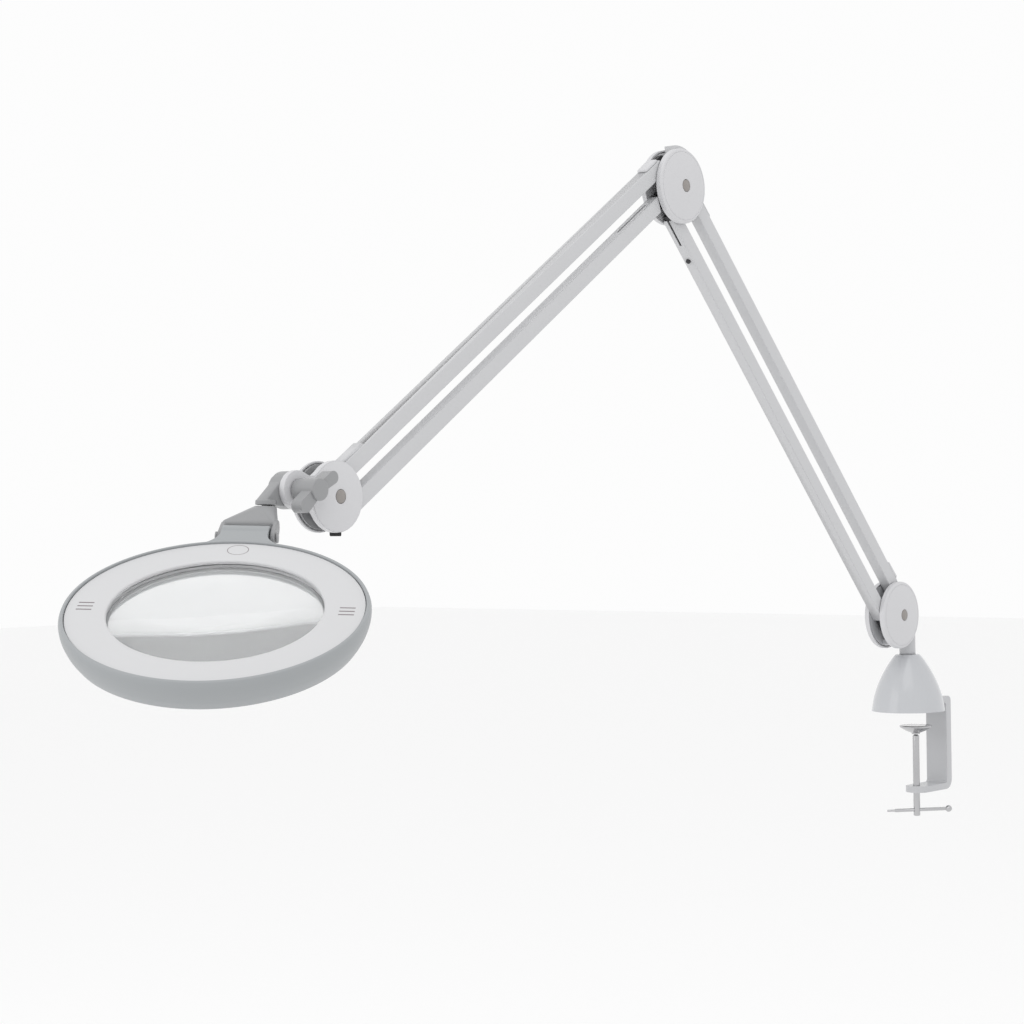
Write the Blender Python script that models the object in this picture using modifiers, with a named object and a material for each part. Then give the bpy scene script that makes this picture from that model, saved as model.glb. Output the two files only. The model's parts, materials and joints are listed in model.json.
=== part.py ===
"""Magnifying lamp: a round lens head on a two-link balanced arm with a bench clamp.

Metres, +Z up. The origin is the centre of the clamp's jaw face, where the lamp sits on the bench.
The arm lies in the XZ plane with the head towards -X. Every arm joint turns about an axis along Y.
"""
import math

import bmesh
import bpy
from mathutils import Matrix, Vector

GAP = 0.0003

# Clamp and mast
BELL_HEIGHT = 0.067
BELL_WALL = 0.002
BELL_PROFILE = ((0.0140, 0.067), (0.0185, 0.0615), (0.0255, 0.0510), (0.0335, 0.0360), (0.0398, 0.0185),
                (0.0428, 0.0003))
JAW_PAD_RADIUS = 0.036
JAW_PAD_TOP = 0.0057
JAW_LOW, JAW_HIGH = 0.0060, 0.0140
LIP_LOW, LIP_HIGH = -0.0970, -0.0895
CLAMP_BACK_INNER, CLAMP_BACK_OUTER = 0.0631, 0.0740
CLAMP_HALF_WIDTH = 0.0140
CLAMP_NOSE_X = 0.0190
SCREW_X = 0.0160
SCREW_RADIUS = 0.0039
SCREW_TOP, SCREW_BOTTOM = -0.0245, -0.1250
TOMMY_Z = -0.1180
TOMMY_ANGLE = math.radians(-50)
POST_RADIUS = 0.0094
POST_TOP = 0.1100
PIN_RADIUS = 0.0080
PIN_LOW = 0.0270

# Arm: side-view coordinates are (x, z)
LOWER_ANGLE = math.radians(132.6)
UPPER_ANGLE = math.radians(213.7)
LOWER_LENGTH = 0.6223
UPPER_LENGTH = 0.6098
KNUCKLE = Vector((-0.0332, 0.1145))
LOWER_MAIN_AT_KNUCKLE = 0.0179
LOWER_MAIN_AT_ELBOW = 0.0242
LOWER_SPACING = 0.0394
UPPER_MAIN_AT_HEAD = 0.0224
UPPER_SPACING = 0.0298
EAR_OFFSET = Vector((-0.0485, 0.0059))
TUBE_HEIGHT = 0.0159
TUBE_WIDTH = 0.0130
TUBE_WALL = 0.0013
EYE_RADIUS = 0.0068
PIVOT_RADIUS = 0.0030

# Joint covers and plates: distances from the arm's middle plane
PLATE_INNER, PLATE_OUTER = 0.0070, 0.0093
COVER_RIM, COVER_FACE_INNER, COVER_FACE = 0.0071, 0.0112, 0.0136
DISC_RADIUS = 0.0389
HEAD_DISC_RADIUS = 0.0318
EAR_RADIUS = 0.0172
CAP_RADIUS = 0.0062
DOME = 0.0038

# Head: the head frame has +X towards its neck, +Z out of its top plate
HEAD_CENTRE = Vector((-1.1963, -0.0981, 0.1684))
SWIVEL_LEAN = math.radians(3.2)
SWIVEL_TURN = math.radians(37.06)
HEAD_NOD = math.radians(27.6)
SWIVEL_POINT = Vector((-1.0445, 0.0, 0.2500))
APERTURE_RADIUS = 0.0854
PLATE_RADIUS = 0.1183
NOD_X, NOD_Z = 0.1530, -0.0110
NECK_HALF_WIDTH = 0.0201
NECK_HALF_DEPTH = 0.0100

COLOURS = {
    "arm_white": ((0.60, 0.61, 0.62), 0.45, 0.0),
    "cover_white": ((0.64, 0.64, 0.65), 0.42, 0.0),
    "cap_grey": ((0.27, 0.25, 0.24), 0.5, 0.0),
    "joint_grey": ((0.32, 0.33, 0.34), 0.45, 0.0),
    "head_grey": ((0.36, 0.38, 0.40), 0.45, 0.0),
    "plate_white": ((0.68, 0.69, 0.71), 0.4, 0.0),
    "bell_white": ((0.66, 0.67, 0.69), 0.2, 0.0),
    "clamp_white": ((0.58, 0.59, 0.60), 0.4, 0.0),
    "chrome": ((0.75, 0.75, 0.76), 0.12, 1.0),
    "steel": ((0.45, 0.45, 0.46), 0.35, 1.0),
    "dark_steel": ((0.05, 0.05, 0.055), 0.45, 0.6),
    "rubber": ((0.03, 0.03, 0.03), 0.8, 0.0),
    "glass": ((0.90, 0.93, 0.95), 0.03, 0.0),
    "diffuser": ((0.85, 0.86, 0.88), 0.5, 0.0),
    "board": ((0.08, 0.25, 0.12), 0.5, 0.0),
}


def clear_scene():
    for obj in list(bpy.data.objects):
        bpy.data.objects.remove(obj, do_unlink=True)


def new_collection(name):
    group = bpy.data.collections.new(name)
    bpy.context.scene.collection.children.link(group)
    return group


clear_scene()
PARTS = new_collection("magnifying_lamp")
CUTTERS = new_collection("cutters")
FRAMES = new_collection("frames")


def new_frame(name, matrix):
    """Empty that carries a local coordinate system."""
    empty = bpy.data.objects.new(name, None)
    FRAMES.objects.link(empty)
    empty.matrix_world = matrix
    return empty


def axes_matrix(origin, x_axis, y_axis, z_axis):
    rotation = Matrix((x_axis, y_axis, z_axis)).transposed().to_4x4()
    return Matrix.Translation(origin) @ rotation


def surface(node, kind):
    """Own material of one node."""
    colour, roughness, metallic = COLOURS[kind]
    mat = bpy.data.materials.new(node)
    mat.use_nodes = True
    shader = mat.node_tree.nodes["Principled BSDF"]
    shader.inputs["Base Color"].default_value = (*colour, 1.0)
    shader.inputs["Roughness"].default_value = roughness
    shader.inputs["Metallic"].default_value = metallic
    if kind == "glass":
        shader.inputs["Alpha"].default_value = 0.35
    return mat


def node(name, mesh, parent, kind, sharp=35):
    """Visible sub-part."""
    obj = bpy.data.objects.new(name, mesh)
    PARTS.objects.link(obj)
    obj.parent = parent
    mesh.materials.append(surface(name, kind))
    mesh.shade_smooth()
    mesh.set_sharp_from_angle(angle=math.radians(sharp))
    return obj


def tool(name, mesh, parent):
    """Hidden solid that cuts or joins a sub-part."""
    obj = bpy.data.objects.new(name, mesh)
    CUTTERS.objects.link(obj)
    obj.parent = parent
    obj.hide_render = True
    obj.display_type = "WIRE"
    return obj


def boolean(obj, other, operation):
    mod = obj.modifiers.new(other.name, "BOOLEAN")
    mod.operation = operation
    mod.solver = "EXACT"
    mod.object = other


def cut(obj, mesh, parent):
    boolean(obj, tool(obj.name + "_cut", mesh, parent), "DIFFERENCE")


def join(obj, mesh, parent):
    boolean(obj, tool(obj.name + "_add", mesh, parent), "UNION")


def mesh_from(bm, name="mesh"):
    mesh = bpy.data.meshes.new(name)
    bm.to_mesh(mesh)
    bm.free()
    return mesh


def box(low, high):
    """Axis-aligned block between two corners."""
    bm = bmesh.new()
    bmesh.ops.create_cube(bm, size=1.0)
    size = [b - a for a, b in zip(low, high)]
    middle = [(a + b) / 2 for a, b in zip(low, high)]
    bmesh.ops.scale(bm, vec=size, verts=bm.verts)
    bmesh.ops.translate(bm, vec=middle, verts=bm.verts)
    return mesh_from(bm)


def cylinder(radius, low, high, centre=(0.0, 0.0), segments=24, axis="Z", top_radius=None):
    """Round bar or cone along the named axis; centre holds its place on the other two axes in order."""
    bm = bmesh.new()
    top = radius if top_radius is None else top_radius
    bmesh.ops.create_cone(bm, cap_ends=True, segments=segments, radius1=radius, radius2=top, depth=high - low)
    bmesh.ops.translate(bm, vec=(0, 0, (low + high) / 2), verts=bm.verts)
    if axis == "Y":
        turn = Matrix.Rotation(math.radians(-90), 3, "X")
        bmesh.ops.rotate(bm, matrix=turn, verts=bm.verts)
        bmesh.ops.translate(bm, vec=(centre[0], 0, centre[1]), verts=bm.verts)
    elif axis == "X":
        turn = Matrix.Rotation(math.radians(90), 3, "Y")
        bmesh.ops.rotate(bm, matrix=turn, verts=bm.verts)
        bmesh.ops.translate(bm, vec=(0, centre[0], centre[1]), verts=bm.verts)
    else:
        bmesh.ops.translate(bm, vec=(centre[0], centre[1], 0), verts=bm.verts)
    return mesh_from(bm)


def arc(centre, radius, start, end, count):
    """Points along an arc, angles in degrees."""
    points = []
    for i in range(count + 1):
        angle = math.radians(start + (end - start) * i / count)
        points.append((centre[0] + radius * math.cos(angle), centre[1] + radius * math.sin(angle)))
    return points


def circle(centre, radius, count=20):
    return arc(centre, radius, 0, 360, count)[:-1]


def plate(outlines, low, high):
    """Flat outline with holes, extruded from low to high: a filled 2D curve made into a mesh."""
    curve = bpy.data.curves.new("outline", "CURVE")
    curve.dimensions = "2D"
    curve.fill_mode = "BOTH"
    curve.extrude = (high - low) / 2
    for points in outlines:
        spline = curve.splines.new("POLY")
        spline.points.add(len(points) - 1)
        for target, (x, y) in zip(spline.points, points):
            target.co = (x, y, 0, 1)
        spline.use_cyclic_u = True
    holder = bpy.data.objects.new("outline", curve)
    FRAMES.objects.link(holder)
    depsgraph = bpy.context.evaluated_depsgraph_get()
    mesh = bpy.data.meshes.new_from_object(holder.evaluated_get(depsgraph))
    bpy.data.objects.remove(holder, do_unlink=True)
    bm = bmesh.new()
    bm.from_mesh(mesh)
    bmesh.ops.remove_doubles(bm, verts=bm.verts, dist=1e-6)
    bmesh.ops.translate(bm, vec=(0, 0, (low + high) / 2), verts=bm.verts)
    bm.to_mesh(mesh)
    bm.free()
    mesh.materials.clear()
    return mesh


def profile_mesh(points, closed):
    """Half section in the XZ plane for a Screw modifier."""
    bm = bmesh.new()
    verts = [bm.verts.new((radius, 0, height)) for radius, height in points]
    for first, second in zip(verts, verts[1:]):
        bm.edges.new((first, second))
    if closed:
        bm.edges.new((verts[-1], verts[0]))
    return mesh_from(bm)


def add_screw(obj, steps):
    mod = obj.modifiers.new("Turn", "SCREW")
    mod.axis = "Z"
    mod.angle = math.tau
    mod.steps = steps
    mod.render_steps = steps
    mod.use_merge_vertices = True
    mod.merge_threshold = 0.00001


def turned(name, points, parent, kind, steps=32, closed=False, at=(0, 0, 0)):
    """Turned sub-part about its local Z; the points run down the outer side."""
    obj = node(name, profile_mesh(points, closed), parent, kind)
    obj.location = at
    add_screw(obj, steps)
    return obj


def ring(name, inner, outer, low, high, parent, kind, steps=32):
    points = ((inner, high), (outer, high), (outer, low), (inner, low))
    return turned(name, points, parent, kind, steps, closed=True)


# ---------------------------------------------------------------- frames
WORLD = new_frame("world_frame", Matrix.Identity(4))
# Side frame: local X is world X, local Y is world Z, local Z comes out of the lamp's front side (-Y).
SIDE = new_frame("side_frame", Matrix.Rotation(math.radians(90), 4, "X"))


def direction(angle):
    return Vector((math.cos(angle), math.sin(angle)))


LOWER_U = direction(LOWER_ANGLE)
LOWER_N = direction(LOWER_ANGLE + math.pi / 2)
UPPER_U = direction(UPPER_ANGLE)
UPPER_N = direction(UPPER_ANGLE - math.pi / 2)

LOWER_MAIN_LOW = KNUCKLE + LOWER_N * LOWER_MAIN_AT_KNUCKLE
LOWER_LINK_LOW = LOWER_MAIN_LOW - LOWER_N * LOWER_SPACING
LOWER_MAIN_HIGH = LOWER_MAIN_LOW + LOWER_U * LOWER_LENGTH
LOWER_LINK_HIGH = LOWER_LINK_LOW + LOWER_U * LOWER_LENGTH
ELBOW = LOWER_MAIN_HIGH - LOWER_N * LOWER_MAIN_AT_ELBOW
UPPER_MAIN_ELBOW = ELBOW
UPPER_LINK_ELBOW = ELBOW + UPPER_N * UPPER_SPACING
UPPER_MAIN_HEAD = UPPER_MAIN_ELBOW + UPPER_U * UPPER_LENGTH
UPPER_LINK_HEAD = UPPER_LINK_ELBOW + UPPER_U * UPPER_LENGTH
HEAD_JOINT = UPPER_MAIN_HEAD + UPPER_N * UPPER_MAIN_AT_HEAD
EAR = HEAD_JOINT + EAR_OFFSET


def bar_frame(name, origin, angle):
    """Frame of one arm tube: X along the tube from its pivot, Z out of the lamp's front side."""
    local = Matrix.Translation((origin.x, origin.y, 0)) @ Matrix.Rotation(angle, 4, "Z")
    return new_frame(name, Matrix.Rotation(math.radians(90), 4, "X") @ local)


LOWER_MAIN = bar_frame("lower_main_frame", LOWER_MAIN_LOW, LOWER_ANGLE)
LOWER_LINK = bar_frame("lower_link_frame", LOWER_LINK_LOW, LOWER_ANGLE)
UPPER_MAIN = bar_frame("upper_main_frame", UPPER_MAIN_ELBOW, UPPER_ANGLE)
UPPER_LINK = bar_frame("upper_link_frame", UPPER_LINK_ELBOW, UPPER_ANGLE)


def head_axes():
    """Swivel axis and the head's axes: along the neck, to its left and out of its top plate."""
    swivel = Vector((math.sin(SWIVEL_LEAN), 0, math.cos(SWIVEL_LEAN)))
    level = Vector((math.cos(SWIVEL_LEAN), 0, -math.sin(SWIVEL_LEAN)))
    flat = level * math.cos(SWIVEL_TURN) + Vector((0, 1, 0)) * math.sin(SWIVEL_TURN)
    neck = flat * math.cos(HEAD_NOD) + swivel * math.sin(HEAD_NOD)
    normal = swivel * math.cos(HEAD_NOD) - flat * math.sin(HEAD_NOD)
    return swivel, level, neck, normal


SWIVEL_AXIS, SWIVEL_LEVEL, NECK_AXIS, HEAD_NORMAL = head_axes()
HEAD = new_frame("head_frame", axes_matrix(HEAD_CENTRE, NECK_AXIS, HEAD_NORMAL.cross(NECK_AXIS), HEAD_NORMAL))
SWIVEL = new_frame("swivel_frame", axes_matrix(SWIVEL_POINT, SWIVEL_LEVEL, Vector((0, 1, 0)), SWIVEL_AXIS))
TURN_X = Matrix.Rotation(math.radians(90), 4, "X")
TILT = new_frame("tilt_frame", TURN_X @ Matrix.Translation((EAR.x, EAR.y, 0)))


# ---------------------------------------------------------------- clamp and mast
def nose_cutter(centre_x, radius, low, high):
    """Block with a round bite that leaves a rounded nose on a flat bar."""
    bite = arc((centre_x, 0), radius, 90, 270, 14)
    outline = [(-0.040, 0.030), (-0.040, -0.030), (centre_x, -0.030)] + bite[::-1] + [(centre_x, 0.030)]
    return plate([outline], low, high)


def bench_clamp():
    """C-shaped casting: flat jaw, back web and a lower lip that holds the screw."""
    side = [(-0.0300, JAW_LOW), (CLAMP_BACK_INNER - 0.003, JAW_LOW)]
    side += arc((CLAMP_BACK_INNER - 0.003, JAW_LOW - 0.003), 0.003, 90, 0, 3)[1:]
    side += arc((CLAMP_BACK_INNER - 0.004, LIP_HIGH + 0.004), 0.004, 0, -90, 3)
    side += [(-0.0300, LIP_HIGH), (-0.0300, LIP_LOW)]
    side += arc((CLAMP_BACK_OUTER - 0.012, LIP_LOW + 0.012), 0.012, -90, 0, 5)
    side += arc((CLAMP_BACK_OUTER - 0.006, JAW_HIGH - 0.006), 0.006, 0, 90, 4)
    side += [(-0.0300, JAW_HIGH)]
    obj = node("bench_clamp", plate([side], -CLAMP_HALF_WIDTH, CLAMP_HALF_WIDTH), SIDE, "clamp_white")
    radius = CLAMP_HALF_WIDTH + 0.0005
    cut(obj, nose_cutter(CLAMP_NOSE_X + 0.0005, radius, LIP_LOW - 0.010, LIP_HIGH + 0.010), WORLD)
    cut(obj, nose_cutter(0.0, radius, JAW_LOW - 0.010, JAW_HIGH + 0.010), WORLD)
    cut(obj, cylinder(0.0042, -0.100, -0.080, (SCREW_X, 0), 20), WORLD)
    cut(obj, cylinder(0.0030, 0.0, 0.020, (0, 0), 16), WORLD)


def jaw_pad():
    """Grip plate under the jaw, with a recess on its top for the bush bolt's head."""
    points = ((0.0, 0.0014), (0.0072, 0.0014), (0.0072, JAW_PAD_TOP), (JAW_PAD_RADIUS, JAW_PAD_TOP),
              (JAW_PAD_RADIUS, 0.0), (0.0, 0.0))
    turned("jaw_pad", points, WORLD, "rubber", 28)


def pivot_bush():
    """Blind bush bolted on the jaw; the mast pin turns in it."""
    points = ((0.0083, 0.0600), (0.0115, 0.0600), (0.0115, 0.0200), (0.0140, 0.0170), (0.0140, 0.0143),
              (0.0030, 0.0143), (0.0030, 0.0240), (0.0083, 0.0240))
    turned("pivot_bush", points, WORLD, "steel", 24, closed=True)


def bush_bolt():
    points = ((0.0, 0.0220), (0.0027, 0.0220), (0.0027, 0.0057), (0.0060, 0.0057), (0.0060, 0.0020),
              (0.0, 0.0020))
    turned("bush_bolt", points, WORLD, "steel", 20)


def bell_cover():
    """Thin bell over the bush, notched where the jaw passes through its wall."""
    outer = list(BELL_PROFILE)
    inner = [(radius - BELL_WALL, height) for radius, height in reversed(outer[1:])]
    crown = [(0.0099, BELL_HEIGHT - BELL_WALL), (0.0099, BELL_HEIGHT)]
    obj = turned("bell_cover", outer + inner + crown, WORLD, "bell_white", 36, closed=True)
    half = CLAMP_HALF_WIDTH + 2 * GAP + 0.0008
    cut(obj, box((0.025, -half, -0.005), (0.060, half, JAW_HIGH + 2 * GAP)), WORLD)


def web(centre, start, end, inner, outer):
    """Ring sector that ties the two plates of a joint together."""
    return arc(centre, outer, start, end, 8) + arc(centre, inner, end, start, 8)


def mast_knuckle():
    """Mast pin and post with the two plates of the lower joint."""
    obj = node("mast_knuckle", cylinder(POST_RADIUS, 0.0675, POST_TOP, segments=32), WORLD, "clamp_white")
    join(obj, cylinder(PIN_RADIUS, PIN_LOW, 0.0700, segments=28), WORLD)
    radius = DISC_RADIUS - 0.0026
    holes = [circle(p, PIVOT_RADIUS + 0.0004, 12) for p in (LOWER_MAIN_LOW, LOWER_LINK_LOW, KNUCKLE)]
    for low in (PLATE_INNER, -PLATE_OUTER):
        join(obj, plate([circle(KNUCKLE, radius, 30)] + holes, low, low + PLATE_OUTER - PLATE_INNER), SIDE)
    sector = web(KNUCKLE, -108, -22, radius - 0.0068, radius - 0.0006)
    join(obj, plate([sector], -PLATE_INNER - 0.0005, PLATE_INNER + 0.0005), SIDE)


def dome_points(base, radius):
    """Outer surface of a shallow dome from near the centre down to its edge."""
    return [(radius * part, base + DOME * (1 - part * part)) for part in (0.32, 0.64)] + [(radius, base)]


def disc_cover(name, centre, front, post=False):
    """Domed round cover with a deep rim; the rear one has a blind boss for the centre bolt."""
    hole, rim, seat = PIVOT_RADIUS + 0.0004, DISC_RADIUS - 0.0018, CAP_RADIUS + 0.0004
    points = dome_points(COVER_FACE, DISC_RADIUS - 0.0012)
    points += [(DISC_RADIUS, COVER_FACE - 0.0012), (DISC_RADIUS, COVER_RIM), (rim, COVER_RIM),
               (rim, COVER_FACE_INNER), (0.0240, COVER_FACE_INNER + 0.0014)]
    inner = COVER_FACE_INNER + 0.0020
    if front:
        points = [(hole, inner + 0.0022), (seat, inner + 0.0022), (seat, COVER_FACE + DOME)] + points
        points += [(hole, inner)]
    else:
        points = [(0.0, COVER_FACE + DOME)] + points
        points += [(0.0065, inner), (0.0065, COVER_FACE_INNER - 0.0014), (hole, COVER_FACE_INNER - 0.0014),
                   (hole, COVER_FACE + 0.0012), (0.0, COVER_FACE + 0.0012)]
    obj = turned(name, points, SIDE, "cover_white", 36, closed=front, at=(centre.x, centre.y, 0))
    if not front:
        obj.rotation_euler = (math.pi, 0, 0)
    if post:
        cut(obj, cylinder(POST_RADIUS + 0.0006, 0.060, POST_TOP + 0.0012, segments=32), WORLD)


def centre_bolt(name, centre):
    """Cap-headed bolt through both plates of a joint into the rear cover's boss."""
    head = COVER_FACE + 0.0022
    points = ((0.0, COVER_FACE + DOME + 0.0004), (CAP_RADIUS - 0.0006, COVER_FACE + DOME + 0.0003),
              (CAP_RADIUS, COVER_FACE + DOME - 0.0002), (CAP_RADIUS, head), (PIVOT_RADIUS, head),
              (PIVOT_RADIUS, -COVER_FACE - 0.0002), (0.0, -COVER_FACE - 0.0002))
    turned(name, points, SIDE, "cap_grey", 16, at=(centre.x, centre.y, 0))


def head_cap():
    """Push-in cap at the centre of the head joint's front cover."""
    top = COVER_FACE + DOME
    points = ((0.0, top + 0.0004), (CAP_RADIUS - 0.0006, top + 0.0003), (CAP_RADIUS, top - 0.0002),
              (CAP_RADIUS, top - 0.0016), (0.0040, top - 0.0016), (0.0040, COVER_FACE_INNER - 0.0002),
              (0.0, COVER_FACE_INNER - 0.0002))
    turned("head_cap", points, SIDE, "cap_grey", 16, at=(HEAD_JOINT.x, HEAD_JOINT.y, 0))


def through_pivot(name, centre):
    """Riveted pin through both plates, with a head at each end."""
    end, head, rivet = 0.0107, 0.0096, 0.0048
    points = ((0.0, end), (rivet, end), (rivet, head), (PIVOT_RADIUS, head), (PIVOT_RADIUS, -head),
              (rivet, -head),
              (rivet, -end), (0.0, -end))
    turned(name, points, SIDE, "steel", 12, at=(centre.x, centre.y, 0))


def stud_pivot(name, centre, front):
    """Short stud held by one plate of the elbow."""
    end, head, rivet = 0.0107, 0.0096, 0.0048
    points = ((0.0, end), (rivet, end), (rivet, head), (PIVOT_RADIUS, head), (PIVOT_RADIUS, 0.0006),
              (0.0, 0.0006))
    obj = turned(name, points, SIDE, "steel", 12, at=(centre.x, centre.y, 0))
    if not front:
        obj.rotation_euler = (math.pi, 0, 0)


# ---------------------------------------------------------------- arm tubes
def arm_tube(name, frame, start, end, slot=None, mitre=0.0):
    """Hollow square tube, open at both ends; slot is (from, to, side), mitre slants the near end."""
    high, wide = TUBE_HEIGHT / 2, TUBE_WIDTH / 2
    side = [(start + mitre, high), (start, -high), (end, -high), (end, high)]
    obj = node(name, plate([side], -wide, wide), frame, "arm_white")
    inner = (high - TUBE_WALL, wide - TUBE_WALL)
    cut(obj, box((start - 0.01, -inner[0], -inner[1]), (end + 0.01, inner[0], inner[1])), frame)
    if slot:
        low, far, side = slot
        edges = sorted((side * 0.004, side * 0.010))
        cut(obj, box((low, edges[0], -0.0013), (far, edges[1], 0.0013)), frame)
    return obj


def fairing(obj, frame, start, end, side, height=0.0028):
    """Raised cable guide moulded on the outside of a tube."""
    base, top = TUBE_HEIGHT / 2 - 0.0006, TUBE_HEIGHT / 2 + height
    points = [(start, side * base), (end, side * base), (end - 0.003, side * top),
              (start + 0.003, side * top)]
    join(obj, plate([points], -0.0052, 0.0052), frame)


def fitting(name, frame, pivot, mouth, eye_low, eye_high):
    """Tube end fitting: an eye round its pivot and a plug in the tube's mouth."""
    sign = 1 if mouth > pivot else -1
    turn = 180 if sign > 0 else 0
    straight = arc((pivot, 0), EYE_RADIUS, turn - 90, turn + 90, 7)
    reach = mouth - sign * 0.0015
    if sign > 0:
        outline = straight + [(reach, -EYE_RADIUS + 0.0004), (reach, EYE_RADIUS - 0.0004)]
    else:
        outline = straight + [(reach, EYE_RADIUS - 0.0004), (reach, -EYE_RADIUS + 0.0004)]
    hole = circle((pivot, 0), PIVOT_RADIUS + 0.0004, 12)
    obj = node(name, plate([outline, hole], eye_low, eye_high), frame, "dark_steel")
    half = TUBE_HEIGHT / 2 - TUBE_WALL - GAP
    wide = TUBE_WIDTH / 2 - TUBE_WALL - GAP
    ends = sorted((mouth - sign * 0.0045, mouth + sign * 0.0240))
    join(obj, box((ends[0], -half, -wide), (ends[1], half, wide)), frame)


def arm_spring(name, frame, start, turns, pitch):
    """Extension spring along the inside of a tube, with straight ends."""
    radius, per_turn = 0.0032, 7
    curve = bpy.data.curves.new(name, "CURVE")
    curve.dimensions = "3D"
    curve.bevel_depth = 0.0006
    curve.bevel_resolution = 0
    curve.use_fill_caps = True
    path = [(start - 0.012, 0.0, 0.0), (start - 0.003, 0.0, 0.0)]
    for i in range(turns * per_turn + 1):
        angle = math.tau * i / per_turn
        path.append((start + pitch * i / per_turn, radius * math.cos(angle), radius * math.sin(angle)))
    finish = start + pitch * turns
    path += [(finish + 0.003, 0.0, 0.0), (finish + 0.012, 0.0, 0.0)]
    spline = curve.splines.new("POLY")
    spline.points.add(len(path) - 1)
    for target, point in zip(spline.points, path):
        target.co = (*point, 1)
    holder = bpy.data.objects.new("spring_path", curve)
    FRAMES.objects.link(holder)
    depsgraph = bpy.context.evaluated_depsgraph_get()
    mesh = bpy.data.meshes.new_from_object(holder.evaluated_get(depsgraph))
    bpy.data.objects.remove(holder, do_unlink=True)
    bm = bmesh.new()
    bm.from_mesh(mesh)
    bmesh.ops.remove_doubles(bm, verts=bm.verts, dist=1e-6)
    bm.to_mesh(mesh)
    bm.free()
    mesh.materials.clear()
    node(name, mesh, frame, "steel")


def anchor_screw(name, frame, place, side):
    """Screw through one wall of a tube; the spring hooks on it."""
    obj = node(name, cylinder(0.0013, -0.0055, 0.0100, (place, 0), 12, axis="Y"), frame, "dark_steel")
    join(obj, cylinder(0.0026, TUBE_HEIGHT / 2 + GAP, 0.0100, (place, 0), 14, axis="Y"), frame)
    if side < 0:
        obj.rotation_euler = (math.pi, 0, 0)
    return obj


def cable_cover(name, frame, start, end, side):
    """Moulded cover on the outside of a tube where the inner wiring leaves it."""
    base = TUBE_HEIGHT / 2 + GAP
    profile = [(start, base), (end, base), (end - 0.0010, base + 0.0024), (start + 0.002, base + 0.0030)]
    node(name, plate([[(x, side * y) for x, y in profile]], -0.0060, 0.0060), frame, "cover_white")


def spring_screw(name, tube, frame, place):
    """Screw that anchors the spring, with its clearance hole in the tube."""
    cut(tube, cylinder(0.0017, 0.004, 0.012, (place, 0), 12, axis="Y"), frame)
    anchor_screw(name, frame, place, 1)


def lower_arm():
    near = {"main": 0.0163, "link": 0.0100}
    far = {"main": LOWER_LENGTH - 0.0200, "link": LOWER_LENGTH - 0.0260}
    frames = {"main": LOWER_MAIN, "link": LOWER_LINK}
    main = arm_tube("lower_main_tube", LOWER_MAIN, near["main"], far["main"],
                    slot=(LOWER_LENGTH - 0.0527, LOWER_LENGTH, 1))
    link = arm_tube("lower_link_tube", LOWER_LINK, near["link"], far["link"])
    fairing(link, LOWER_LINK, LOWER_LENGTH - 0.0596, LOWER_LENGTH - 0.0300, -1)
    for tag, frame in frames.items():
        fitting("lower_%s_base_fitting" % tag, frame, 0.0, near[tag], -0.0045, 0.0045)
        fitting("lower_%s_elbow_fitting" % tag, frame, LOWER_LENGTH, far[tag], 0.0010, 0.0062)
    spring_screw("lower_spring_screw", main, LOWER_MAIN, LOWER_LENGTH - 0.0724)
    arm_spring("lower_spring", LOWER_MAIN, LOWER_LENGTH - 0.1600, 12, 0.0058)
    cable_cover("lower_cable_cover", LOWER_LINK, 0.0300, 0.0560, -1)


def upper_arm():
    ends = {"main": (0.0360, UPPER_LENGTH - 0.0140), "link": (0.0130, UPPER_LENGTH - 0.0140)}
    frames = {"main": UPPER_MAIN, "link": UPPER_LINK}
    main = arm_tube("upper_main_tube", UPPER_MAIN, *ends["main"], slot=(0.0525, 0.1100, -1), mitre=0.0050)
    link = arm_tube("upper_link_tube", UPPER_LINK, *ends["link"])
    fairing(link, UPPER_LINK, UPPER_LENGTH - 0.0620, UPPER_LENGTH - 0.0220, -1)
    for tag, frame in frames.items():
        near, far = ends[tag]
        fitting("upper_%s_elbow_fitting" % tag, frame, 0.0, near, -0.0062, -0.0010)
        fitting("upper_%s_head_fitting" % tag, frame, UPPER_LENGTH, far, -0.0045, 0.0045)
    spring_screw("upper_spring_screw", main, UPPER_MAIN, 0.1300)
    arm_spring("upper_spring", UPPER_MAIN, 0.1450, 12, 0.0058)
    cable_cover("upper_cable_cover", UPPER_LINK, 0.0150, 0.0385, -1)


# ---------------------------------------------------------------- elbow
def elbow_bracket():
    """Two steel plates joined by a web above the pivots."""
    radius = DISC_RADIUS - 0.0026
    sector = web(ELBOW, 45, 98, radius - 0.0050, radius - 0.0002)
    half = PLATE_INNER + 0.0005
    obj = node("elbow_bracket", plate([sector], -half, half), SIDE, "dark_steel")
    tab = web(ELBOW, 50, 97, radius - 0.0030, DISC_RADIUS + 0.0038)
    join(obj, plate([tab], -0.0066, 0.0066), SIDE)
    thick = PLATE_OUTER - PLATE_INNER
    front = [circle(p, PIVOT_RADIUS + 0.0004, 12) for p in (LOWER_MAIN_HIGH, LOWER_LINK_HIGH, ELBOW)]
    rear = [circle(p, PIVOT_RADIUS + 0.0004, 12) for p in (UPPER_MAIN_ELBOW, UPPER_LINK_ELBOW)]
    join(obj, plate([circle(ELBOW, radius, 30)] + front, PLATE_INNER, PLATE_INNER + thick), SIDE)
    rear_outline = circle(ELBOW, radius, 30)
    join(obj, plate([rear_outline] + rear, -PLATE_OUTER, -PLATE_INNER), SIDE)


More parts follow.
